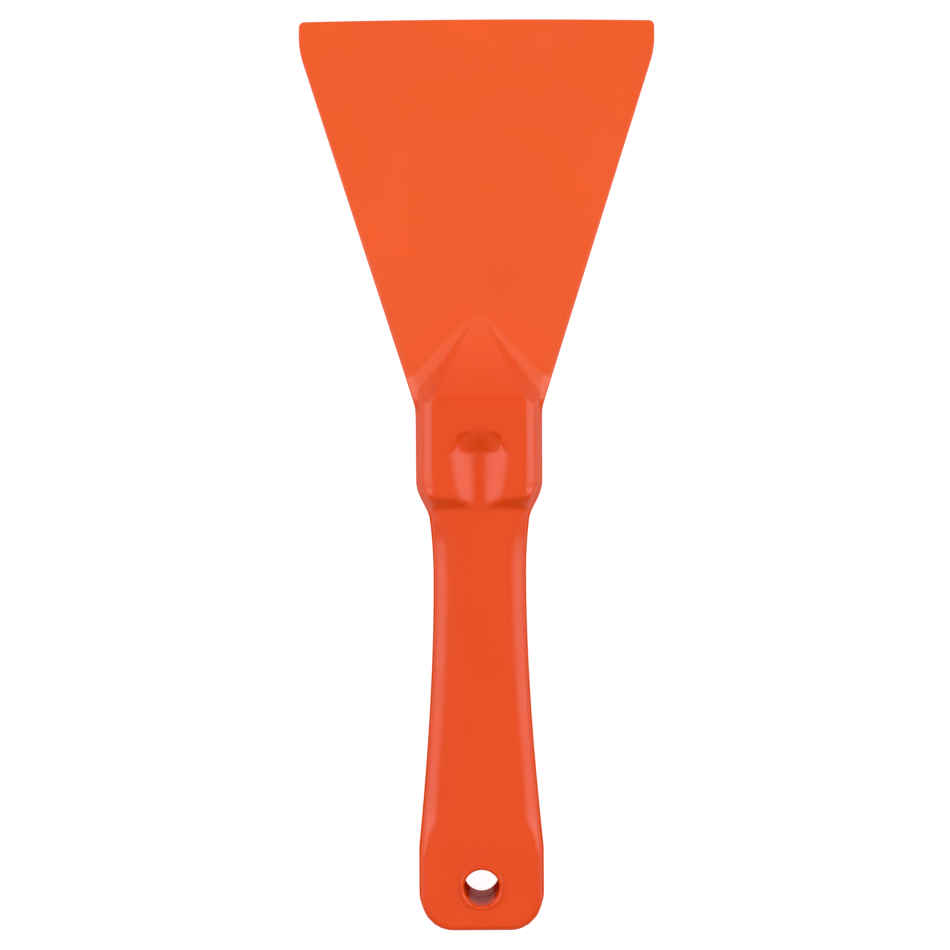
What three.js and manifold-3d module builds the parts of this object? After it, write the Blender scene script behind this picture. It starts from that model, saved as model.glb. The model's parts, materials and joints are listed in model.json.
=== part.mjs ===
// Flexible putty knife with a 4 inch blade, moulded in one piece from an elastic plastic.
// Units are millimetres. The tool lies flat: +X across the blade, +Y towards the scraping edge and
// +Z out of the front face. The origin is on the resting plane, in the middle of the tool's length
// and width. Front and back are mirror images about the parting plane, half way up.
//
// The moulding is built once as a whole, then divided by flat cuts into its stiff zones and into
// the bands of the blade that bend on one another.

import * as THREE from "three";
import { ConvexGeometry } from "three/addons/geometries/ConvexGeometry.js";
import { mergeVertices } from "three/addons/utils/BufferGeometryUtils.js";
import Module from "manifold-3d";

// Overall size
const TOOL_LENGTH = 258.9;
const BLADE_WIDTH = 101.6;
const PAD_THICKNESS = 21;
const PARTING_Z = PAD_THICKNESS / 2;
const EDGE_Y = TOOL_LENGTH / 2;
const BUTT_Y = -TOOL_LENGTH / 2;

// Block under the thumb
const BLOCK_HALF_WIDTH = 18.05;
const BLOCK_TOP_Y = 20.73;
const BLOCK_TOP_HALF_WIDTH = 11.6;
const BLOCK_CORNER_Y = 18.18;
const BLOCK_CHAMFER_TOP_Y = 19.48;
const BLOCK_CHAMFER = 2.4;
const BLOCK_DRAFT = 1.9;
const BLOCK_FACE_END_Y = -6.42;
const NECK_Y = -10.82;

// Grip and butt
const WAIST_Y = -29.32;
const WAIST_HALF_WIDTH = 13.24;
const WAIST_HALF_HEIGHT = 8;
const NECK_WIDENING = 0.0037;
const NECK_BLEND_START_Y = -13.12;
const NECK_BLEND_END_Y = -2.12;
const GRIP_CHAMFER = 2.6;
const GRIP_DRAFT = 0.8;
const GRIP_CROWN = 0.6;
const FLARE_END_Y = -106.92;
const FLARE_END_SLOPE = 0.1;
const BUTT_HALF_WIDTH = 17.8;
const BUTT_CORNER_RADIUS = 9.9;
const BUTT_EDGE_RADIUS = 1.8;
const PAD_TOP_Y = -104.9;

// Hanging hole, with its flared rim
const HOLE_RADIUS = 5;
const HOLE_RIM = 0.9;
const HOLE_Y = BUTT_Y + 13.05;

// Thumb scoop: a tilted groove with a round bottom and a coned head
const SCOOP_RADIUS = 10;
const SCOOP_DEPTH = 5.4;
const SCOOP_HEAD_Y = 5.78;
const SCOOP_HEAD_LENGTH = 12.6;
const SCOOP_TAIL_LENGTH = 34;
const SCOOP_TILT = THREE.MathUtils.degToRad(8.8);

// Blade: straight slanted sides that bow upright near the edge, and a bevel along the sides
const BLADE_SIDE_SLOPE = 0.32;
const BLADE_BOW_RADIUS = 24.5;
const BLADE_BOW_LENGTH = BLADE_BOW_RADIUS * Math.sin(Math.atan(BLADE_SIDE_SLOPE));
const BLADE_BOW_END_Y = EDGE_Y - 4.8;
const BLADE_CORNER_RADIUS = 1.1;
const BLADE_START_Y = 13.18;
const BLADE_TAPER_Y = 75.38;
const BLADE_START_HALF_THICKNESS = 2.4;
const BLADE_TAPER_HALF_THICKNESS = 1.1;
const BLADE_EDGE_HALF_THICKNESS = 0.65;
const SIDE_LAND = 0.35;
const BEVEL_SLOPE = 1.5;

// Arrow-shaped buttress on each face of the blade
const ARROW_APEX_Y = 45.23;
const ARROW_BEND_Y = 35.13;
const ARROW_BEND_HALF_WIDTH = 10.6;
const ARROW_FOOT_Y = 24.18;
const ARROW_FOOT_HALF_WIDTH = 17.2;
const ARROW_BACK_Y = 11.18;

// Cuts between the zones
const CUT_GAP = 0.3;
const SCOOP_END_Y = -13.22;
const BLOCK_CUT_Y = 22.58;
const FLEX_START_Y = 46.48;
const STRIP_COUNT = 7;

// Fineness of the solids
const MERGE_DISTANCE = 1e-5;
const COARSE_STEP = 6;
const NECK_STEP = 4;
const FINE_STEP = 1.1;
const BOW_STEP = 1.9;
const SCOOP_SIDES = 48;
const HOLE_SIDES = 40;

const ORANGE = new THREE.Color(0.83, 0.105, 0.024);
const PLASTIC_ROUGHNESS = 0.4;

const wasm = await Module();
wasm.setup();

// ---- Solids ----

// Turns a closed geometry into a solid that can be cut and joined.
function toSolid(geometry) {
  geometry.deleteAttribute("normal");
  geometry.deleteAttribute("uv");
  const merged = mergeVertices(geometry, MERGE_DISTANCE);
  return new wasm.Manifold(new wasm.Mesh({
    numProp: 3,
    vertProperties: merged.getAttribute("position").array,
    triVerts: merged.index.array,
  }));
}

function toGeometry(solid) {
  const { vertProperties, triVerts } = solid.getMesh();
  const geometry = new THREE.BufferGeometry();
  geometry.setAttribute("position", new THREE.BufferAttribute(vertProperties, 3));
  geometry.setIndex(new THREE.BufferAttribute(triVerts, 1));
  geometry.computeVertexNormals();
  return geometry;
}

// A bar through the given stations, whose section at each y is the ring of corners from sectionAt.
// An extruded round bar is drawn first, and each of its corners is then moved to its place.
function barAlongY(stations, sectionAt) {
  const rings = stations.toSorted((a, b) => b - a).map((y) => ({ y, corners: sectionAt(y) }));
  const cornerCount = rings[0].corners.length;
  const cornerAngle = (2 * Math.PI) / cornerCount;
  const circle = Array.from({ length: cornerCount }, (_, i) => (
    new THREE.Vector2(Math.cos(i * cornerAngle), Math.sin(i * cornerAngle))
  ));
  const steps = rings.length - 1;
  const bar = new THREE.ExtrudeGeometry(new THREE.Shape(circle), {
    depth: steps, steps, bevelEnabled: false,
  });
  const position = bar.getAttribute("position");
  for (let i = 0; i < position.count; i += 1) {
    const ring = rings[Math.round(position.getZ(i))];
    const angle = Math.atan2(position.getY(i), position.getX(i));
    const corner = (Math.round(angle / cornerAngle) + cornerCount) % cornerCount;
    const [x, z] = ring.corners[corner];
    position.setXYZ(i, x, ring.y, z);
  }
  return toSolid(bar);
}

// Turns a section's corners, from its right side to its top middle, into the whole ring.
function mirroredRing(quarter) {
  const right = quarter[0];
  const top = quarter.at(-1);
  const between = quarter.slice(1, -1);
  const backwards = between.toReversed();
  return [
    right,
    ...between,
    top,
    ...backwards.map(([x, z]) => [-x, z]),
    [-right[0], right[1]],
    ...between.map(([x, z]) => [-x, -z]),
    [top[0], -top[1]],
    ...backwards.map(([x, z]) => [x, -z]),
  ];
}

function evenStations(start, end, spacing) {
  const count = Math.ceil(Math.abs(end - start) / spacing);
  return Array.from({ length: count + 1 }, (_, i) => THREE.MathUtils.lerp(start, end, i / count));
}

// Stations over the rounding at the butt's end, at equal angles from one radius to the next.
function buttStations(fromEnd, radius, count) {
  const startAngle = Math.acos(1 - fromEnd / radius);
  return Array.from({ length: count + 1 }, (_, i) => {
    const angle = THREE.MathUtils.lerp(startAngle, Math.PI / 2, i / count);
    return BUTT_Y + radius * (1 - Math.cos(angle));
  });
}

// How far an outline rounded at its corner falls back, at a distance from the rounded end.
function cornerInset(radius, fromEnd) {
  const into = Math.max(0, radius - fromEnd);
  return radius - Math.sqrt(radius ** 2 - into ** 2);
}

// ---- Handle: butt, grip and block in one bar ----

// A cubic that leaves the waist level and meets the end of the flare at the given slope.
function flareFromWaist(y, atWaist, atEnd, endY, endSlope) {
  const length = WAIST_Y - endY;
  const along = (WAIST_Y - y) / length;
  const rise = atEnd - atWaist;
  const cubic = endSlope * length - 2 * rise;
  return atWaist + (rise - cubic) * along ** 2 + cubic * along ** 3;
}

function handleHalfWidth(y) {
  if (y < FLARE_END_Y) {
    return BUTT_HALF_WIDTH - cornerInset(BUTT_CORNER_RADIUS, y - BUTT_Y);
  }
  if (y < WAIST_Y) {
    return flareFromWaist(y, WAIST_HALF_WIDTH, BUTT_HALF_WIDTH, FLARE_END_Y, FLARE_END_SLOPE);
  }
  const neck = WAIST_HALF_WIDTH + NECK_WIDENING * (y - WAIST_Y) ** 2;
  const side = Math.min(neck, BLOCK_HALF_WIDTH);
  const blend = THREE.MathUtils.smoothstep(y, NECK_BLEND_START_Y, NECK_BLEND_END_Y);
  return THREE.MathUtils.lerp(side, BLOCK_HALF_WIDTH, blend);
}

function handleHalfHeight(y) {
  if (y < PAD_TOP_Y) {
    return PARTING_Z - cornerInset(BUTT_EDGE_RADIUS, y - BUTT_Y);
  }
  if (y < WAIST_Y) {
    return flareFromWaist(y, WAIST_HALF_HEIGHT, PARTING_Z, PAD_TOP_Y, 0);
  }
  const rise = THREE.MathUtils.smoothstep(y, NECK_Y, BLOCK_FACE_END_Y);
  return THREE.MathUtils.lerp(WAIST_HALF_HEIGHT, PARTING_Z, rise);
}

// A drafted side wall, a chamfer and a face that is crowned on the grip and flat on the pads.
function handleSection(y) {
  const onButt = y <= PAD_TOP_Y;
  const onBlock = y >= BLOCK_FACE_END_Y;
  const chamfer = onButt ? BUTT_EDGE_RADIUS : onBlock ? BLOCK_CHAMFER : GRIP_CHAMFER;
  const draft = onBlock ? BLOCK_DRAFT : GRIP_DRAFT;
  const crown = onButt || onBlock ? 0 : GRIP_CROWN;
  const width = handleHalfWidth(y);
  const height = handleHalfHeight(y);
  const wall = width - draft;
  return mirroredRing([
    [width, 0],
    [wall, height - crown - chamfer],
    [wall - chamfer, height - crown],
    [0, height],
  ]);
}

function handleBar() {
  return barAlongY([
    ...buttStations(0, BUTT_EDGE_RADIUS, 3),
    ...buttStations(BUTT_EDGE_RADIUS, BUTT_CORNER_RADIUS, 6).slice(1),
    FLARE_END_Y,
    PAD_TOP_Y,
    ...evenStations(PAD_TOP_Y + 1, WAIST_Y, COARSE_STEP),
    ...evenStations(WAIST_Y + NECK_STEP, NECK_BLEND_START_Y, NECK_STEP),
    ...evenStations(NECK_Y, BLOCK_FACE_END_Y, FINE_STEP),
    ...evenStations(BLOCK_FACE_END_Y + FINE_STEP, NECK_BLEND_END_Y, FINE_STEP),
    BLOCK_CORNER_Y,
  ], handleSection);
}

// ---- Blade and buttress ----

function bladeHalfWidth(y) {
  const belowBowEnd = Math.max(0, BLADE_BOW_END_Y - y);
  const intoBow = Math.min(BLADE_BOW_LENGTH, belowBowEnd);
  const bow = BLADE_BOW_RADIUS - Math.sqrt(BLADE_BOW_RADIUS ** 2 - intoBow ** 2);
  const slant = BLADE_SIDE_SLOPE * (belowBowEnd - intoBow);
  const corner = cornerInset(BLADE_CORNER_RADIUS, EDGE_Y - y);
  return BLADE_WIDTH / 2 - bow - slant - corner;
}

// The blade thins quickly from its start to the taper line, then slowly to its bevelled edge.
function bladeHalfThickness(y) {
  const startToTaper = (y - BLADE_START_Y) / (BLADE_TAPER_Y - BLADE_START_Y);
  const taperToEdge = (y - BLADE_TAPER_Y) / (EDGE_Y - BLADE_TAPER_Y);
  const { lerp } = THREE.MathUtils;
  const face = y < BLADE_TAPER_Y
    ? lerp(BLADE_START_HALF_THICKNESS, BLADE_TAPER_HALF_THICKNESS, startToTaper)
    : lerp(BLADE_TAPER_HALF_THICKNESS, BLADE_EDGE_HALF_THICKNESS, taperToEdge);
  return Math.min(face, SIDE_LAND + (EDGE_Y - y) / BEVEL_SLOPE);
}

// Flat faces with the sides bevelled down to a narrow upright land.
function bladeSection(y) {
  const width = bladeHalfWidth(y);
  const thickness = bladeHalfThickness(y);
  const bevel = (thickness - SIDE_LAND) * BEVEL_SLOPE;
  return mirroredRing([
    [width, 0],
    [width, SIDE_LAND],
    [width - bevel, thickness],
    [0, thickness],
  ]);
}

function bladeBar() {
  const edgeBevel = (BLADE_EDGE_HALF_THICKNESS - SIDE_LAND) * BEVEL_SLOPE;
  return barAlongY([
    BLADE_START_Y,
    BLADE_TAPER_Y,
    ...evenStations(BLADE_BOW_END_Y - BLADE_BOW_LENGTH, BLADE_BOW_END_Y, BOW_STEP),
    EDGE_Y - BLADE_CORNER_RADIUS,
    EDGE_Y - edgeBevel,
    EDGE_Y - edgeBevel / 4,
    EDGE_Y,
  ], bladeSection);
}

// The block's front end runs down to the blade as an arrowhead on each face.
function buttress() {
  const corner = [BLOCK_HALF_WIDTH - BLOCK_DRAFT, BLOCK_CORNER_Y, PARTING_Z - BLOCK_CHAMFER];
  const chamferTop = [corner[0] - BLOCK_CHAMFER, BLOCK_CHAMFER_TOP_Y, PARTING_Z];
  const outline = [
    [0, ARROW_APEX_Y, bladeHalfThickness(ARROW_APEX_Y)],
    [ARROW_BEND_HALF_WIDTH, ARROW_BEND_Y, bladeHalfThickness(ARROW_BEND_Y)],
    [BLOCK_TOP_HALF_WIDTH, BLOCK_TOP_Y, PARTING_Z],
    chamferTop,
    corner,
    [ARROW_FOOT_HALF_WIDTH, ARROW_FOOT_Y, bladeHalfThickness(ARROW_FOOT_Y)],
    [corner[0], ARROW_BACK_Y, corner[2]],
    [chamferTop[0], ARROW_BACK_Y, PARTING_Z],
  ];
  const points = outline.flatMap(([x, y, z]) => [
    new THREE.Vector3(x, y, z),
    new THREE.Vector3(-x, y, z),
    new THREE.Vector3(x, y, -z),
    new THREE.Vector3(-x, y, -z),
  ]);
  return toSolid(new ConvexGeometry(points));
}

// ---- What is cut out ----

// A groove along Y with a round bottom and a coned head, tilted so that it runs out at the neck.
function thumbScoop(side) {
  const profile = [
    new THREE.Vector2(0, -SCOOP_TAIL_LENGTH),
    new THREE.Vector2(SCOOP_RADIUS, -SCOOP_TAIL_LENGTH),
    new THREE.Vector2(SCOOP_RADIUS, 0),
    new THREE.Vector2(0, SCOOP_HEAD_LENGTH),
  ];
  const groove = new THREE.LatheGeometry(profile, SCOOP_SIDES);
  groove.rotateX(-side * SCOOP_TILT);
  groove.translate(0, SCOOP_HEAD_Y, side * (PARTING_Z - SCOOP_DEPTH + SCOOP_RADIUS));
  return toSolid(groove);
}

// A round hole through both pads, with a bevelled rim at each face.
function hangingHole() {
  const rimRadius = HOLE_RADIUS + HOLE_RIM;
  const mouthZ = PARTING_Z + HOLE_RIM;
  const lowerHalf = [[0, -mouthZ], [rimRadius, -mouthZ], [rimRadius, -PARTING_Z],
    [HOLE_RADIUS, HOLE_RIM - PARTING_Z]];
  const upperHalf = lowerHalf.toReversed().map(([radius, z]) => [radius, -z]);
  const profile = [...lowerHalf, ...upperHalf].map(([radius, z]) => new THREE.Vector2(radius, z));
  const hole = new THREE.LatheGeometry(profile, HOLE_SIDES);
  hole.rotateX(Math.PI / 2);
  hole.translate(0, HOLE_Y, 0);
  return toSolid(hole);
}

// ---- The moulding and its zones ----

function moulding() {
  return handleBar()
    .add(bladeBar())
    .add(buttress())
    .subtract(thumbScoop(1))
    .subtract(thumbScoop(-1))
    .subtract(hangingHole());
}

function sliceBetween(solid, startY, endY) {
  const length = endY - startY;
  const slab = new THREE.BoxGeometry(2 * BLADE_WIDTH, length, 2 * PAD_THICKNESS);
  slab.translate(0, startY + length / 2, 0);
  return solid.intersect(toSolid(slab));
}

function zones() {
  const stripLength = (EDGE_Y - FLEX_START_Y) / STRIP_COUNT;
  const strips = Array.from({ length: STRIP_COUNT }, (_, i) => ({
    name: `blade_strip_${i + 1}`,
    startY: FLEX_START_Y + i * stripLength,
  }));
  const starts = [
    { name: "handle_butt", startY: BUTT_Y - 1 },
    { name: "handle_grip", startY: PAD_TOP_Y },
    { name: "thumb_block", startY: SCOOP_END_Y },
    { name: "blade_root", startY: BLOCK_CUT_Y },
    ...strips,
  ];
  return starts.map((zone, i) => ({
    ...zone,
    endY: i + 1 < starts.length ? starts[i + 1].startY : EDGE_Y + 1,
  }));
}

const plastic = {
  color: ORANGE, roughness: PLASTIC_ROUGHNESS, metalness: 0,
};

const puttyKnife = new THREE.Group();
puttyKnife.position.z = PARTING_Z;
const whole = moulding();
for (const { name, startY, endY } of zones()) {
  const solid = sliceBetween(whole, startY + CUT_GAP / 2, endY - CUT_GAP / 2);
  const mesh = new THREE.Mesh(toGeometry(solid), new THREE.MeshStandardMaterial(plastic));
  mesh.name = name;
  puttyKnife.add(mesh);
}

export default puttyKnife;
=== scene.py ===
# Looks of the flexible putty knife: one orange moulding with a satin skin, from the blade's edge to
# the hanging hole. The moulding is a height field over its outline, mirrored front to back about
# the parting plane, and divided into a stiff piece, a band round each of the blade's hinges, and the
# band at its edge, which rides on the body of the last hinge.
# Shapes are worked out in millimetres, with z counted from the parting plane.

import json
import math

import bpy
import numpy as np
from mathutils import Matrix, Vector


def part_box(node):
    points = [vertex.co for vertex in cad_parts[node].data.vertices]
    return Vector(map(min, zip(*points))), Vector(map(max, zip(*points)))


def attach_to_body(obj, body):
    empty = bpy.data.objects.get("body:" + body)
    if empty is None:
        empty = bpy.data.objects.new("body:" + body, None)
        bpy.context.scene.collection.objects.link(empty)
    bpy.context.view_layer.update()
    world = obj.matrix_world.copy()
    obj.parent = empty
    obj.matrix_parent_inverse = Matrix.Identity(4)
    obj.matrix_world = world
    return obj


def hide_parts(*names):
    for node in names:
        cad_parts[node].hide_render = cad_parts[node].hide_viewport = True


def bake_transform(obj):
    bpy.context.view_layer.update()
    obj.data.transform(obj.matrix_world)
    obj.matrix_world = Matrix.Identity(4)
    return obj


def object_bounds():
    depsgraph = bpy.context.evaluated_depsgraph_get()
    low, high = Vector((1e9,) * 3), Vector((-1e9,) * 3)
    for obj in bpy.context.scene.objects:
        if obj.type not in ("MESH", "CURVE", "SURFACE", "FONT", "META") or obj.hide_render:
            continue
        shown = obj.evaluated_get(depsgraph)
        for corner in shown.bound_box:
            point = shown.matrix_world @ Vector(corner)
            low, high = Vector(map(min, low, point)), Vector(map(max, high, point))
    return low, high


MM = 0.001
STIFF_BODY = "handle"
STIFF_NODES = ("handle_butt", "handle_grip", "thumb_block", "blade_root")

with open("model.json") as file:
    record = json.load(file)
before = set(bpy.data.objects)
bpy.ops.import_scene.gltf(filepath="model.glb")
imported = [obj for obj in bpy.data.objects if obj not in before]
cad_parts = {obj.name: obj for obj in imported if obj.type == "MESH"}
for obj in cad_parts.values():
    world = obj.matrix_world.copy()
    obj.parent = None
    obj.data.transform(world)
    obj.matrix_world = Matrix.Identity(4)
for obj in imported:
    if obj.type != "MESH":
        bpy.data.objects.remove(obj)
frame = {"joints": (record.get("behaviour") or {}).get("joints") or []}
cad_low, cad_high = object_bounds()

# ---- Places taken from the frame ----

butt_low, butt_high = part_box("handle_butt")

EDGE_Y = cad_high.y / MM
BUTT_Y = cad_low.y / MM
HALF_THICKNESS = (cad_high.z - cad_low.z) / 2 / MM
PARTING_Z = (cad_high.z + cad_low.z) / 2 / MM
BLADE_HALF_WIDTH = cad_high.x / MM
BUTT_HALF_WIDTH = butt_high.x / MM
PAD_TOP_Y = butt_high.y / MM
HINGES_Y = [joint["pos_m"][1] / MM for joint in frame["joints"]]
BEND_BODIES = [joint["child"] for joint in frame["joints"]]

# ---- Shape of the moulding ----

# Outline at the parting plane
BLOCK_HALF_WIDTH = 18.05
WAIST_Y = -29.32
WAIST_HALF_WIDTH = 13.24
NECK_WIDENING = 0.0037
NECK_BLEND = (-13.12, -2.12)
FLARE_END_Y = -106.92
FLARE_END_SLOPE = 0.1
BUTT_CORNER_RADIUS = 9.9
BLADE_SIDE_SLOPE = 0.32
BLADE_BOW_RADIUS = 24.5
BLADE_BOW_END = 4.8
BLADE_CORNER_RADIUS = 1.6
SHOULDER_BLEND = 0.36
EDGE_CROWN = 0.5
EDGE_CROWN_LENGTH = 14
SLOPE_STEP = 0.01

# Heights of the faces above the parting plane
WAIST_HALF_HEIGHT = 8.0
GRIP_CROWN = 0.6
GRIP_CROWN_FADE = (PAD_TOP_Y, PAD_TOP_Y + 25)
GRIP_END_SLOPE = 0.03
PAD_KICK = 0.55
PAD_KICK_LENGTH = 12
PAD_ROUNDING = 0.12
BLOCK_FACE_END_Y = -6.42
NECK_Y = -10.82
BLOCK_TOP_Y = 20.73

# Walls, chamfers and roundings
GRIP_DRAFT = 0.8
GRIP_CHAMFER = 2.6
BLOCK_DRAFT = 1.9
BLOCK_CHAMFER = 2.0
CHAMFER_SLOPE = 0.7
CHAMFER_ROUNDING = 0.5
NECK_DRAFT = 0.2
NECK_CHAMFER_LOSS = 0.45
BUTT_EDGE_RADIUS = 2.3
EDGE_ROUNDING = 0.3
GRIP_EDGE_SOFTNESS = 0.7
PARTING_RIDGE = 0.07
PARTING_RIDGE_HEIGHT = 0.12
PARTING_RIDGE_END_Y = 14
PARTING_RIDGE_FLAT = 0.6
# A height and an inset beyond any of the moulding's own
FAR_UP = 99
FAR_INSIDE = 50
# The least inset that has any height
ON_OUTLINE = 1e-6

# Stretches of y, each from and to, over which one kind of wall turns into the next
BLOCK_WALL_FADE = (-14, -5)
NECK_WALL_FADE_IN = (-20, -10.5)
NECK_WALL_FADE_OUT = (-6.5, -3.9)
BUTT_WALL_FADE = (PAD_TOP_Y - 3, PAD_TOP_Y + 9)
GRIP_EDGE_FADE = (-24, -11)
BLADE_LAND_FADE = (14, 22)
FOOT_FILLET_FADE = (14, 24)
THICK_WALL_FADE = (15, 21)

# Arrow-shaped buttress
ARROW_APEX_Y = 44.98
ARROW_APEX_HEIGHT = 1.75
FACET_CORNER = (12.6, 21.2)
FACET_SLOPES = (1.0, 0.86)
RIDGE_ROUNDING = 0.25
FOOT_APEX_Y = 47.6
FOOT_SPREAD = 1.04
FOOT_SLOPE = 0.42
FOOT_HIGHEST = 3
FOOT_ROUNDING = 0.12
FOOT_FILLET = 0.2
FOOT_FILLET_INSET = 2.5
ARROW_START_Y = 5
FOOT_END_Y = 60

# Thumb scoop
SCOOP_DEPTH = 4.0
SCOOP_WALL_SLOPE = 0.58
SCOOP_FLOOR_ROUNDING = 1.2
SCOOP_HEAD_Y = 5.78
SCOOP_HEAD_SLOPE = 0.67
SCOOP_HEAD_REACH = 5.9
SCOOP_END_OVAL = (6.0, 5.7)
SCOOP_END_STEEPNESS = 22
SCOOP_END_START = 3
SCOOP_HEAD_ROUNDING = 0.35
SCOOP_TILT = 0.06
SCOOP_BOW = 0.0022
SCOOP_LIP = 0.8

# Blade: y and half thickness where its taper starts and where it changes
BLADE_START = (13.18, 2.4)
BLADE_TAPER = (75.38, 1.1)
BLADE_EDGE_HALF_THICKNESS = 0.65
TAPER_BLEND = 0.05
SIDE_LAND_SHARE = 0.7
SIDE_BEVEL_SLOPE = 0.34
SIDE_ROUNDING = 0.35
BEVEL_ROUNDING = 0.2
BEVEL_ROUNDING_START = 0.3

# Hanging hole
HOLE_RADIUS = 5.0
HOLE_RIM = 0.95
HOLE_Y = BUTT_Y + 13.05
HOLE_RIM_TURNS = 8
HOLE_PATCH_SHARES = (0.25, 0.5, 0.75)
BORE_SHARES = (0.8, 0.6, 0.4, 0.2, 0.04)
BORE_DRAFT = 0.05

# ---- Grid over the outline ----

# How far in from the outline the closest columns and rows stand
EDGE_DISTANCES = (0, 0.05, 0.12, 0.25, 0.45, 0.7, 1, 1.4, 1.9, 2.4, 2.9, 3.4, 4, 4.8)
CENTRE_COLUMNS = 12
SIDE_COLUMNS = 20
# Half the side of the square patch round the hanging hole, and how far the grid bends to meet it
PATCH = 6.2
PATCH_FADE_BELOW = 7
PATCH_FADE_ABOVE = 9
BUTT_ARC_STEPS = 32
CLOSEST_ROWS = 0.17
# The greatest share of the half width that the close columns take
WIDEST_MARGIN = 0.45
# First y, last y and spacing of the grid's rows, from the butt to the edge
ROW_RANGES = (
    (BUTT_Y + BUTT_CORNER_RADIUS, -100, 0.8),
    (-100, -90, 1.0),
    (-90, -36, 2.2),
    (-36, -16, 0.8),
    (-16, 22, 0.45),
    (22, 46, 0.42),
    (46, 72, 1.6),
    (72, 80, 0.8),
    (80, EDGE_Y - EDGE_DISTANCES[-1], 2.2),
)

# ---- Looks ----

# DEEP_ORANGE is the plastic's own colour; the paler orange below it is painted light that shines
# through where the plastic is thin
DEEP_ORANGE = (0.7, 0.057, 0.0025, 1)
LIT_THROUGH_ORANGE = (0.745, 0.088, 0.014, 1)
# Facing from and to, then the specular level there. It falls to nothing at a glance, which keeps
# the steep walls from washing out. Real plastic doesn't do this.
GRAZING_GLOSS = (0.6, 0.84, 0.4, 0)
# Half the plastic's thickness, in mm, at and below which the skin takes the paler orange of painted
# light shining through, and at and above which it is DEEP_ORANGE
THIN_TO_THICK = (0.65, 8)
PLASTIC_IOR = 1.49
# Noises by their cycles a metre and their detail
FLOW_NOISE = (38, 3)
RUB_NOISE = (70, 4)
GRAIN_NOISE = (2600, 2)
RIPPLE_NOISE = (160, 1)
NOISE_SPAN = (0.3, 0.7)
MOTTLING = (0.975, 1.025)
ROUGHNESS = (0.33, 0.42)
RIPPLE_SHARE = 6
BUMP_STRENGTH = 0.25
BUMP_DISTANCE = 0.00004
WHITE = (1, 1, 1, 1)
# The floor is a dark grey that looks white only by its glow, so it shows hardly any shadow
FLOOR_GREY = (0.15, 0.15, 0.15, 1)
FLOOR_ROUGHNESS = 0.9
FLOOR_HALF_SIZE = 12.0
# Strength of the floor's and backdrop's glow on the object, then to the camera
FLOOR_GLOW = (0.5, 0.95)
BACKDROP_GLOW = (0.1, 0.9)

# Each light's name, place and size in metres, and power in watts
SOFTBOXES = (
    ("left_softbox", (-1.2, 0.35, 0.65), (1.3, 0.9), 14.5),
    ("right_softbox", (1.2, 0.35, 0.65), (1.3, 0.9), 14.5),
    ("edge_softbox", (0.0, 1.3, 0.9), (1.2, 0.8), 4),
)
OVERHEAD_FILL = ("overhead_fill", (0.0, -0.6, 1.5), (2.2, 2.2), 20)

# Camera: place in mm, lens and sensor in mm, roll in degrees
CAMERA_PLACE = (-1.2, -0.62, 539)
CAMERA_LENS = 70.12
CAMERA_ROLL = 0.35
CAMERA_SENSOR = 36
CAMERA_CLIP_START = 0.01


def smoothstep(start, end, value):
    t = np.clip((value - start) / (end - start), 0, 1)
    return t * t * (3 - 2 * t)


def soft_max(a, b, size):
    """The larger of two heights, with the corner between them filled to the given size."""
    return (a + b + np.sqrt((a - b) ** 2 + size**2)) / 2


def soft_min(a, b, size):
    """The smaller of two heights, with the corner between them rounded to the given size."""
    return -soft_max(-a, -b, size)


def corner_inset(radius, from_end):
    """How far an outline with a rounded corner falls back near its end."""
    into = np.clip(radius - from_end, 0, radius)
    return radius - np.sqrt(radius**2 - into**2)


def flare(y, at_waist, at_end, end_y, end_slope):
    """A cubic that leaves the waist level and meets the end of the flare at a slope."""
    length = WAIST_Y - end_y
    along = np.clip((WAIST_Y - y) / length, 0, 1)
    rise = at_end - at_waist
    cubic = end_slope * length - 2 * rise
    return at_waist + (rise - cubic) * along**2 + cubic * along**3


# ---- Outline ----


def handle_half_width(y):
    grip = flare(y, WAIST_HALF_WIDTH, BUTT_HALF_WIDTH, FLARE_END_Y, FLARE_END_SLOPE)
    neck = WAIST_HALF_WIDTH + NECK_WIDENING * (y - WAIST_Y) ** 2
    side = np.minimum(neck, BLOCK_HALF_WIDTH)
    block = side + (BLOCK_HALF_WIDTH - side) * smoothstep(*NECK_BLEND, y)
    return np.where(y < WAIST_Y, grip, block)


def blade_half_width(y):
    bow_length = BLADE_BOW_RADIUS * math.sin(math.atan(BLADE_SIDE_SLOPE))
    below_bow = np.maximum(0, EDGE_Y - BLADE_BOW_END - y)
    into_bow = np.minimum(bow_length, below_bow)
    bow = BLADE_BOW_RADIUS - np.sqrt(BLADE_BOW_RADIUS**2 - into_bow**2)
    return BLADE_HALF_WIDTH - bow - BLADE_SIDE_SLOPE * (below_bow - into_bow)


def side_half_width(y):
    """Half the width at y, before the corners at the two ends are rounded."""
    handle, blade = handle_half_width(y), blade_half_width(y)
    return np.where(y < 0, handle, soft_max(handle, blade, SHOULDER_BLEND))


def half_width(y):
    butt = corner_inset(BUTT_CORNER_RADIUS, y - BUTT_Y)
    edge = corner_inset(BLADE_CORNER_RADIUS, EDGE_Y - y)
    return side_half_width(y) - butt - edge


def from_outline(x, y):
    """Distance inwards from the outline, round the corners at the two ends too."""
    ahead, behind = side_half_width(y + SLOPE_STEP), side_half_width(y - SLOPE_STEP)
    slope = (ahead - behind) / (2 * SLOPE_STEP)
    from_side = (side_half_width(y) - np.abs(x)) / np.sqrt(1 + slope**2)
    inside = from_side
    for from_end, radius in ((y - BUTT_Y, BUTT_CORNER_RADIUS), (EDGE_Y - y, BLADE_CORNER_RADIUS)):
        rounded = radius - np.hypot(radius - from_side, radius - from_end)
        in_corner = (from_side < radius) & (from_end < radius)
        inside = np.where(in_corner, np.minimum(inside, rounded), np.minimum(inside, from_end))
    return np.maximum(inside, 0)


# ---- Heights ----


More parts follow.
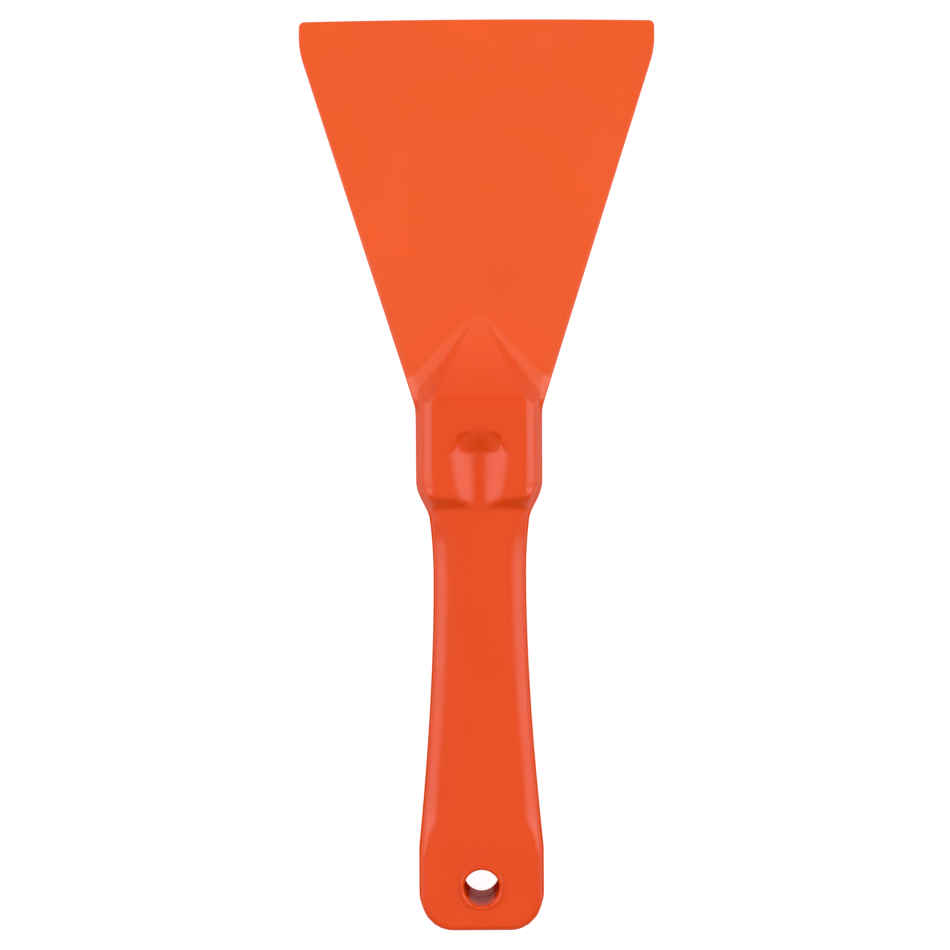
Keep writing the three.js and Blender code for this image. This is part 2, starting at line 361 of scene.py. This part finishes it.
def ramp_height(y):
    """The buttress's middle slope, from the block's top edge down to its apex on the blade."""
    slope = (HALF_THICKNESS - ARROW_APEX_HEIGHT) / (ARROW_APEX_Y - BLOCK_TOP_Y)
    return ARROW_APEX_HEIGHT + slope * (ARROW_APEX_Y - y)


def blade_height(x, y, inside):
    """Half the blade's thickness with the buttress's foot, bevelled to a land along its outline."""
    (start_y, start), (taper_y, taper) = BLADE_START, BLADE_TAPER
    root = start + (taper - start) * (y - start_y) / (taper_y - start_y)
    tip = taper + (BLADE_EDGE_HALF_THICKNESS - taper) * (y - taper_y) / (EDGE_Y - taper_y)
    face = soft_max(root, tip, TAPER_BLEND)
    into_foot = (FOOT_APEX_Y - y - FOOT_SPREAD * np.abs(x)) / math.hypot(1, FOOT_SPREAD)
    foot = root + np.minimum(FOOT_SLOPE * into_foot, FOOT_HIGHEST)
    foot = soft_min(foot, ramp_height(y), FOOT_ROUNDING)
    face = np.where(y < FOOT_END_Y, soft_max(face, foot, FOOT_ROUNDING), face)
    land = face - (1 - SIDE_LAND_SHARE) * np.minimum(face, root)
    land = land * smoothstep(*BLADE_LAND_FADE, y)
    outward = 1 - np.clip(inside / SIDE_ROUNDING, 0, 1)
    upright = land * np.sqrt(1 - outward**2)
    bevel = upright + SIDE_BEVEL_SLOPE * inside
    rounding = BEVEL_ROUNDING * np.minimum(inside / BEVEL_ROUNDING_START, 1)
    return np.where(inside > 0, soft_min(bevel, face, rounding), 0)


def arrow_height(x, y):
    """The ramp and the two facets of the buttress, which fall to the blade as an arrowhead."""
    corner_x, corner_y = FACET_CORNER
    across, along = FACET_SLOPES
    facet = HALF_THICKNESS - across * (np.abs(x) - corner_x) - along * (y - corner_y)
    return soft_min(ramp_height(y), facet, RIDGE_ROUNDING)


def face_height(x, y):
    """The front face of the handle and block, without its edges."""
    grip = flare(y, WAIST_HALF_HEIGHT, HALF_THICKNESS - PAD_KICK, PAD_TOP_Y, GRIP_END_SLOPE)
    kick = np.clip((PAD_TOP_Y + PAD_KICK_LENGTH - y) / PAD_KICK_LENGTH, 0, 2)
    grip = grip + PAD_KICK * kick**2
    crown = GRIP_CROWN * (x / WAIST_HALF_WIDTH) ** 2
    crown = crown * smoothstep(*GRIP_CROWN_FADE, y)
    grip = soft_min(grip - crown, HALF_THICKNESS + 0 * x, PAD_ROUNDING)
    rise = smoothstep(NECK_Y, BLOCK_FACE_END_Y, y)
    neck = WAIST_HALF_HEIGHT - crown
    block = neck + (HALF_THICKNESS - neck) * rise
    return np.where(y < WAIST_Y, grip, block)


def scoop_height(x, y):
    """Floor of the thumb scoop: a tilted V groove, rounded below, whose head ramps up to the face."""
    behind = np.maximum(SCOOP_HEAD_Y - y, 0)
    ahead = soft_max(y - SCOOP_HEAD_Y, 0 * y, SCOOP_HEAD_ROUNDING)
    groove = HALF_THICKNESS - SCOOP_DEPTH + SCOOP_TILT * behind + SCOOP_BOW * behind**2
    wall = np.hypot(SCOOP_WALL_SLOPE * x, SCOOP_FLOOR_ROUNDING) - SCOOP_FLOOR_ROUNDING
    head = SCOOP_HEAD_SLOPE * ahead * np.maximum(1 - (x / SCOOP_HEAD_REACH) ** 2, 0)
    across, along = SCOOP_END_OVAL
    past_oval = np.maximum(np.hypot(x / across, ahead / along) - 1, 0)
    end = SCOOP_END_STEEPNESS * past_oval**2 * np.minimum(ahead / SCOOP_END_START, 1)
    return groove + head + end + wall


def wall_height(x, y, inside):
    """The drafted side wall and the chamfer above it."""
    on_block = smoothstep(*BLOCK_WALL_FADE, y)
    on_butt = 1 - smoothstep(*BUTT_WALL_FADE, y)
    on_neck = smoothstep(*NECK_WALL_FADE_IN, y) * (1 - smoothstep(*NECK_WALL_FADE_OUT, y))
    draft = GRIP_DRAFT + (BLOCK_DRAFT - GRIP_DRAFT) * on_block + NECK_DRAFT * on_neck
    chamfer = GRIP_CHAMFER + (BLOCK_CHAMFER - GRIP_CHAMFER) * on_block
    chamfer = chamfer * (1 - NECK_CHAMFER_LOSS * on_neck)
    top = face_height(0 * x, y)
    wall = inside * (top - chamfer) / draft
    sloped = top - chamfer + CHAMFER_SLOPE * (inside - draft)
    chamfered = soft_min(wall, sloped, CHAMFER_ROUNDING)
    centre = draft + BUTT_EDGE_RADIUS
    across = np.clip(centre - inside, 0, BUTT_EDGE_RADIUS)
    arc = HALF_THICKNESS - BUTT_EDGE_RADIUS + np.sqrt(BUTT_EDGE_RADIUS**2 - across**2)
    rounded = np.where(inside < draft, inside * (HALF_THICKNESS - BUTT_EDGE_RADIUS) / draft, arc)
    return chamfered + (rounded - chamfered) * on_butt


def height(x, y):
    """Height of the front face above the parting plane."""
    inside = from_outline(x, y)
    block_inside = np.where(y > 0, BLOCK_HALF_WIDTH - np.abs(x), inside)
    edge_rounding = EDGE_ROUNDING + GRIP_EDGE_SOFTNESS * (1 - smoothstep(*GRIP_EDGE_FADE, y))
    body = soft_min(face_height(x, y), wall_height(x, y, block_inside), edge_rounding)
    arrow = arrow_height(x, np.maximum(y, ARROW_START_Y))
    body = soft_min(body, np.where(y > ARROW_START_Y, arrow, FAR_UP), EDGE_ROUNDING)
    body = soft_min(body, scoop_height(x, y), SCOOP_LIP)
    fillet = FOOT_FILLET * smoothstep(*FOOT_FILLET_FADE, y)
    fillet = fillet * smoothstep(0, FOOT_FILLET_INSET, inside)
    whole = soft_max(body, blade_height(x, y, inside), fillet)
    off_ridge = smoothstep(PARTING_RIDGE * PARTING_RIDGE_FLAT, PARTING_RIDGE, inside)
    ridge = PARTING_RIDGE_HEIGHT * (1 - off_ridge)
    whole = np.maximum(whole, ridge * (y < PARTING_RIDGE_END_Y))
    return np.where(inside > ON_OUTLINE, np.maximum(whole, 0), 0)


def wall_depth(x, y):
    """Half the plastic's thickness under a point, taken without the rounding of the edges."""
    level = np.maximum(height(x, y), blade_height(x, y, FAR_INSIDE + 0 * x))
    face = face_height(0 * x, y)
    return level + (face - level) * (1 - smoothstep(*THICK_WALL_FADE, y))


# ---- Mesh of the moulding ----


def band_ends():
    """The y of each cut between the stiff piece, the bending bands and the edge band."""
    half_band = (EDGE_Y - HINGES_Y[0]) / len(HINGES_Y) / 2
    return [y - half_band for y in HINGES_Y] + [HINGES_Y[-1] + half_band]


def rows():
    """The y of every row of the grid, with rows exactly on the cuts and the patch's two ends."""
    turns = np.linspace(0, math.pi / 2, BUTT_ARC_STEPS)
    found = list(BUTT_Y + BUTT_CORNER_RADIUS * (1 - np.cos(turns)))
    for first, last, spacing in ROW_RANGES:
        steps = max(1, round((last - first) / spacing))
        found += list(np.linspace(first, last, steps + 1)[1:])
    found += [EDGE_Y - distance for distance in EDGE_DISTANCES[:-1]]
    exact = [HOLE_Y - PATCH, HOLE_Y + PATCH] + band_ends()
    for y in exact:
        found = [other for other in found if abs(other - y) > CLOSEST_ROWS]
    return np.array(sorted(found + exact))


def columns(y):
    """The x of every column of the grid at y, packed closely along the outline."""
    width = float(half_width(np.array(y)))
    margin = min(EDGE_DISTANCES[-1], WIDEST_MARGIN * width)
    side = [width - distance * margin / EDGE_DISTANCES[-1] for distance in EDGE_DISTANCES]
    inner = width - margin
    even = inner * CENTRE_COLUMNS / (CENTRE_COLUMNS + SIDE_COLUMNS)
    above_hole = y - HOLE_Y
    near_hole = smoothstep(-PATCH - PATCH_FADE_BELOW, -PATCH, above_hole)
    near_hole = near_hole * (1 - smoothstep(PATCH, PATCH + PATCH_FADE_ABOVE, above_hole))
    centre = even + (PATCH - even) * float(near_hole)
    half = list(np.linspace(0, centre, CENTRE_COLUMNS + 1))
    half += list(np.linspace(centre, inner, SIDE_COLUMNS + 1)[1:-1])
    half += side[::-1]
    return np.array([-x for x in half[:0:-1]] + half)


def moulding_mesh():
    """Vertices and faces of the whole moulding, front, back and hanging hole."""
    row_ys = rows()
    xs = np.array([columns(y) for y in row_ys])
    ys = np.repeat(row_ys[:, None], xs.shape[1], axis=1)
    zs = height(xs, ys)
    zs[:, 0] = zs[:, -1] = zs[0, :] = zs[-1, :] = 0
    row_count, column_count = xs.shape

    front = np.arange(row_count * column_count).reshape(row_count, column_count)
    inner = np.zeros_like(front, bool)
    inner[1:-1, 1:-1] = True
    back = front.copy()
    back[inner] = front.size + np.arange(inner.sum())

    top = np.stack([xs, ys, zs], axis=-1).reshape(-1, 3)
    under = top[inner.ravel()] * (1, 1, -1)
    points = list(top) + list(under)

    middle = column_count // 2
    left, right = middle - CENTRE_COLUMNS, middle + CENTRE_COLUMNS
    low = int(np.argmin(np.abs(row_ys - (HOLE_Y - PATCH))))
    high = int(np.argmin(np.abs(row_ys - (HOLE_Y + PATCH))))

    faces = []
    for row in range(row_count - 1):
        for column in range(column_count - 1):
            if low <= row < high and left <= column < right:
                continue
            cell = [(row, column), (row, column + 1), (row + 1, column + 1), (row + 1, column)]
            faces.append([front[corner] for corner in cell])
            faces.append([back[corner] for corner in reversed(cell)])

    loop = [(low, column) for column in range(left, right)]
    loop += [(row, right) for row in range(low, high)]
    loop += [(high, column) for column in range(right, left, -1)]
    loop += [(row, left) for row in range(high, low, -1)]
    add_hole(points, faces, [front[corner] for corner in loop], [back[corner] for corner in loop])
    faces = [list(dict.fromkeys(face)) for face in faces]
    return np.array(points), [face for face in faces if len(face) > 2]


def add_hole(points, faces, front_loop, back_loop):
    """Fills the patch from its square border to the rounded rim and down the bore."""
    rings = [front_loop]
    border = np.array([points[index] for index in front_loop])
    angle = np.arctan2(border[:, 1] - HOLE_Y, border[:, 0])
    reach = np.hypot(border[:, 0], border[:, 1] - HOLE_Y)
    level = border[:, 2]
    profile = [(share, None) for share in HOLE_PATCH_SHARES]
    profile += [(1, turn) for turn in np.linspace(0, math.pi / 2, HOLE_RIM_TURNS)]

    def add_ring(radius, z):
        first = len(points)
        ring = np.stack([radius * np.cos(angle), HOLE_Y + radius * np.sin(angle), z + 0 * angle], 1)
        points.extend(ring)
        return list(range(first, first + len(ring)))

    shapes = []
    for share, turn in profile:
        if turn is None:
            shapes.append((reach + (HOLE_RADIUS + HOLE_RIM - reach) * share, level))
        else:
            radius = HOLE_RADIUS + HOLE_RIM * (1 - math.sin(turn))
            shapes.append((radius, HALF_THICKNESS - HOLE_RIM * (1 - math.cos(turn))))
    bore_top = HALF_THICKNESS - HOLE_RIM
    bore = [(HOLE_RADIUS, bore_top * share) for share in BORE_SHARES]
    seam = [(HOLE_RADIUS - BORE_DRAFT, 0.0)]
    whole = shapes + bore + seam + [(r, -z) for r, z in reversed(shapes + bore)]
    for radius, z in whole:
        rings.append(add_ring(radius, z))
    rings.append(back_loop)
    for outer, inner in zip(rings, rings[1:]):
        for here in range(len(outer)):
            after = (here + 1) % len(outer)
            faces.append([outer[here], outer[after], inner[after], inner[here]])


def crowned(points):
    """The blade's edge bows forward a little in its middle."""
    across = 1 - (points[:, 0] / BLADE_HALF_WIDTH) ** 2
    along = smoothstep(EDGE_Y - EDGE_CROWN_LENGTH, EDGE_Y, points[:, 1])
    moved = points.copy()
    moved[:, 1] -= EDGE_CROWN * (1 - across) * along
    return moved


# ---- Pieces ----


def new_mesh(name, points, faces):
    mesh = bpy.data.meshes.new(name)
    mesh.from_pydata([tuple(point) for point in points], [], faces)
    mesh.polygons.foreach_set("use_smooth", [True] * len(mesh.polygons))
    mesh.update()
    return mesh


def cap_faces(points, members, y, direction):
    """Closes a band's cut end with flat faces between the front and back skins."""
    ring = [index for index in members if abs(points[index][1] - y) < 1e-6]
    upper = sorted((index for index in ring if points[index][2] >= 0), key=lambda i: points[i][0])
    lower = {round(points[i][0], 6): i for i in ring if points[i][2] <= 0}
    pairs = [(index, lower[round(points[index][0], 6)]) for index in upper]
    caps = []
    for (a, under_a), (b, under_b) in zip(pairs, pairs[1:]):
        quad = list(dict.fromkeys([a, b, under_b, under_a]))
        caps.append(quad if direction < 0 else quad[::-1])
    return caps


def build_pieces(material):
    """Divides the moulding at the bands' ends, with the whole's normals on every skin."""
    flat_points, faces = moulding_mesh()
    points = crowned(flat_points)
    whole = new_mesh("whole_moulding", points, faces)
    normals = np.array([tuple(vertex.normal) for vertex in whole.vertices])
    bpy.data.meshes.remove(whole)
    depth = wall_depth(flat_points[:, 0], flat_points[:, 1])
    middles = np.array([flat_points[face, 1].mean() for face in faces])

    ends = [BUTT_Y - 1] + band_ends() + [EDGE_Y + 1]
    bands = [f"blade_band_{i + 1}" for i in range(len(HINGES_Y))]
    names = ["handle_moulding"] + bands + ["blade_edge_band"]
    made = {}
    for name, start, end in zip(names, ends, ends[1:]):
        skin = [faces[i] for i in np.flatnonzero((middles > start) & (middles < end))]
        members = sorted({index for face in skin for index in face})
        caps = []
        if name != names[0]:
            caps += cap_faces(flat_points, members, start, -1)
        if name != names[-1]:
            caps += cap_faces(flat_points, members, end, 1)
        local = {index: place for place, index in enumerate(members)}
        own_faces = [[local[index] for index in face] for face in skin + caps]
        own_points = points[members] * MM + (0, 0, PARTING_Z * MM)
        mesh = new_mesh(name, own_points, own_faces)
        for polygon in list(mesh.polygons)[len(skin):]:
            polygon.use_smooth = False
        # The wall depth sets where the skin is paler with painted light shining through thin plastic
        thickness = mesh.attributes.new("wall_depth", "FLOAT", "POINT")
        thickness.data.foreach_set("value", depth[members].astype(np.float32))
        corner_normals = []
        for face in skin:
            corner_normals += [tuple(normals[index]) for index in face]
        for polygon in list(mesh.polygons)[len(skin):]:
            corner_normals += [tuple(polygon.normal)] * len(polygon.vertices)
        mesh.normals_split_custom_set(corner_normals)
        mesh.materials.append(material)
        piece = bpy.data.objects.new(name, mesh)
        bpy.context.scene.collection.objects.link(piece)
        made[name] = piece
    return made, names


def attach(pieces, names):
    """The stiff piece rides on the handle body and the edge band on the last hinge's body; the bands
    between stay where they are, and the parts that the pieces replace are hidden.
    """
    cuts = band_ends()
    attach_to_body(pieces[names[0]], STIFF_BODY)
    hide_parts(*STIFF_NODES)
    for name, body, start, end in zip(names[1:], BEND_BODIES, cuts, cuts[1:]):
        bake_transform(pieces[name])
        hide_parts("blade_" + body)
    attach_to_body(pieces[names[-1]], BEND_BODIES[-1])


# ---- Material ----


def add_node(tree, kind, **settings):
    node = tree.nodes.new(kind)
    for name, value in settings.items():
        setattr(node, name, value)
    return node


def noise(tree, scale, detail):
    """Noise over the piece's own coordinates, with its scale in cycles a metre."""
    place = add_node(tree, "ShaderNodeTexCoord")
    node = add_node(tree, "ShaderNodeTexNoise")
    node.inputs["Scale"].default_value = scale
    node.inputs["Detail"].default_value = detail
    tree.links.new(place.outputs["Object"], node.inputs["Vector"])
    return node


def map_range(tree, source, from_low, from_high, to_low, to_high):
    node = add_node(tree, "ShaderNodeMapRange")
    limits = {"From Min": from_low, "From Max": from_high, "To Min": to_low, "To Max": to_high}
    for name, value in limits.items():
        node.inputs[name].default_value = value
    tree.links.new(source, node.inputs["Value"])
    return node.outputs["Result"]


def orange_plastic():
    """Satin orange, paler where the wall is thin, which is painted light shining through thin
    plastic, with faint mottling, wear and grain.
    """
    material = bpy.data.materials.new("orange_plastic_skin")
    material.use_nodes = True
    tree = material.node_tree
    shader = tree.nodes["Principled BSDF"]
    shader.inputs["IOR"].default_value = PLASTIC_IOR

    # Paler where the wall is thin: painted light shining through thin plastic
    depth = add_node(tree, "ShaderNodeAttribute", attribute_name="wall_depth")
    lit_through_share = map_range(tree, depth.outputs["Fac"], *THIN_TO_THICK, 1, 0)
    colour = add_node(tree, "ShaderNodeMix", data_type="RGBA")
    colour.inputs[6].default_value = DEEP_ORANGE
    colour.inputs[7].default_value = LIT_THROUGH_ORANGE
    tree.links.new(lit_through_share, colour.inputs[0])

    flow = noise(tree, *FLOW_NOISE)
    shade = map_range(tree, flow.outputs["Fac"], *NOISE_SPAN, *MOTTLING)
    mottled = add_node(tree, "ShaderNodeVectorMath", operation="SCALE")
    tree.links.new(colour.outputs[2], mottled.inputs[0])
    tree.links.new(shade, mottled.inputs["Scale"])
    tree.links.new(mottled.outputs["Vector"], shader.inputs["Base Color"])

    facing = add_node(tree, "ShaderNodeLayerWeight")
    gloss = map_range(tree, facing.outputs["Facing"], *GRAZING_GLOSS)
    tree.links.new(gloss, shader.inputs["Specular IOR Level"])

    rub = noise(tree, *RUB_NOISE)
    roughness = map_range(tree, rub.outputs["Fac"], *NOISE_SPAN, *ROUGHNESS)
    tree.links.new(roughness, shader.inputs["Roughness"])

    grain = noise(tree, *GRAIN_NOISE)
    ripple = noise(tree, *RIPPLE_NOISE)
    height_sum = add_node(tree, "ShaderNodeMath", operation="MULTIPLY_ADD")
    height_sum.inputs[1].default_value = RIPPLE_SHARE
    tree.links.new(ripple.outputs["Fac"], height_sum.inputs[0])
    tree.links.new(grain.outputs["Fac"], height_sum.inputs[2])
    bump = add_node(tree, "ShaderNodeBump")
    bump.inputs["Strength"].default_value = BUMP_STRENGTH
    bump.inputs["Distance"].default_value = BUMP_DISTANCE
    tree.links.new(height_sum.outputs["Value"], bump.inputs["Height"])
    tree.links.new(bump.outputs["Normal"], shader.inputs["Normal"])
    return material


# ---- Studio ----


def floor():
    mesh = bpy.data.meshes.new("studio_floor")
    size = FLOOR_HALF_SIZE
    corners = [(-size, -size, 0), (size, -size, 0), (size, size, 0), (-size, size, 0)]
    mesh.from_pydata(corners, [], [(0, 1, 2, 3)])
    material = bpy.data.materials.new("floor_paper")
    material.use_nodes = True
    shader = material.node_tree.nodes["Principled BSDF"]
    shader.inputs["Base Color"].default_value = FLOOR_GREY
    shader.inputs["Roughness"].default_value = FLOOR_ROUGHNESS
    shader.inputs["Emission Color"].default_value = WHITE
    path = add_node(material.node_tree, "ShaderNodeLightPath")
    glow = map_range(material.node_tree, path.outputs["Is Camera Ray"], 0, 1, *FLOOR_GLOW)
    material.node_tree.links.new(glow, shader.inputs["Emission Strength"])
    mesh.materials.append(material)
    sheet = bpy.data.objects.new("studio_floor", mesh)
    bpy.context.scene.collection.objects.link(sheet)


def softbox(name, place, size, power):
    """A rectangular light that faces the origin, at the middle of the object's length and width."""
    light = bpy.data.lights.new(name, "AREA")
    light.shape = "RECTANGLE"
    light.size, light.size_y = size
    light.energy = power
    lamp = bpy.data.objects.new(name, light)
    lamp.location = place
    bpy.context.scene.collection.objects.link(lamp)
    aim(lamp, place)
    return lamp


def aim(thing, place):
    """Turns a light at a place to face the origin."""
    thing.rotation_mode = "QUATERNION"
    thing.rotation_quaternion = Vector(place).to_track_quat("Z", "Y")


def studio():
    for values in SOFTBOXES:
        softbox(*values)
    fill = softbox(*OVERHEAD_FILL)
    fill.visible_glossy = False
    world = bpy.data.worlds.new("studio")
    bpy.context.scene.world = world
    world.use_nodes = True
    world.cycles_visibility.glossy = False
    backdrop = world.node_tree.nodes["Background"]
    backdrop.inputs["Color"].default_value = WHITE
    path = add_node(world.node_tree, "ShaderNodeLightPath")
    glow = map_range(world.node_tree, path.outputs["Is Camera Ray"], 0, 1, *BACKDROP_GLOW)
    world.node_tree.links.new(glow, backdrop.inputs["Strength"])


# ---- Camera ----


def camera():
    data = bpy.data.cameras.new("camera")
    data.lens = CAMERA_LENS
    data.sensor_width = CAMERA_SENSOR
    data.clip_start = CAMERA_CLIP_START
    seen = bpy.data.objects.new("camera", data)
    seen.location = [value * MM for value in CAMERA_PLACE]
    seen.rotation_euler = (0, 0, math.radians(-CAMERA_ROLL))
    bpy.context.scene.collection.objects.link(seen)
    bpy.context.scene.camera = seen


skin = orange_plastic()
pieces, piece_names = build_pieces(skin)
attach(pieces, piece_names)
floor()
studio()
camera()

scene = bpy.context.scene
scene.view_settings.view_transform = "Standard"
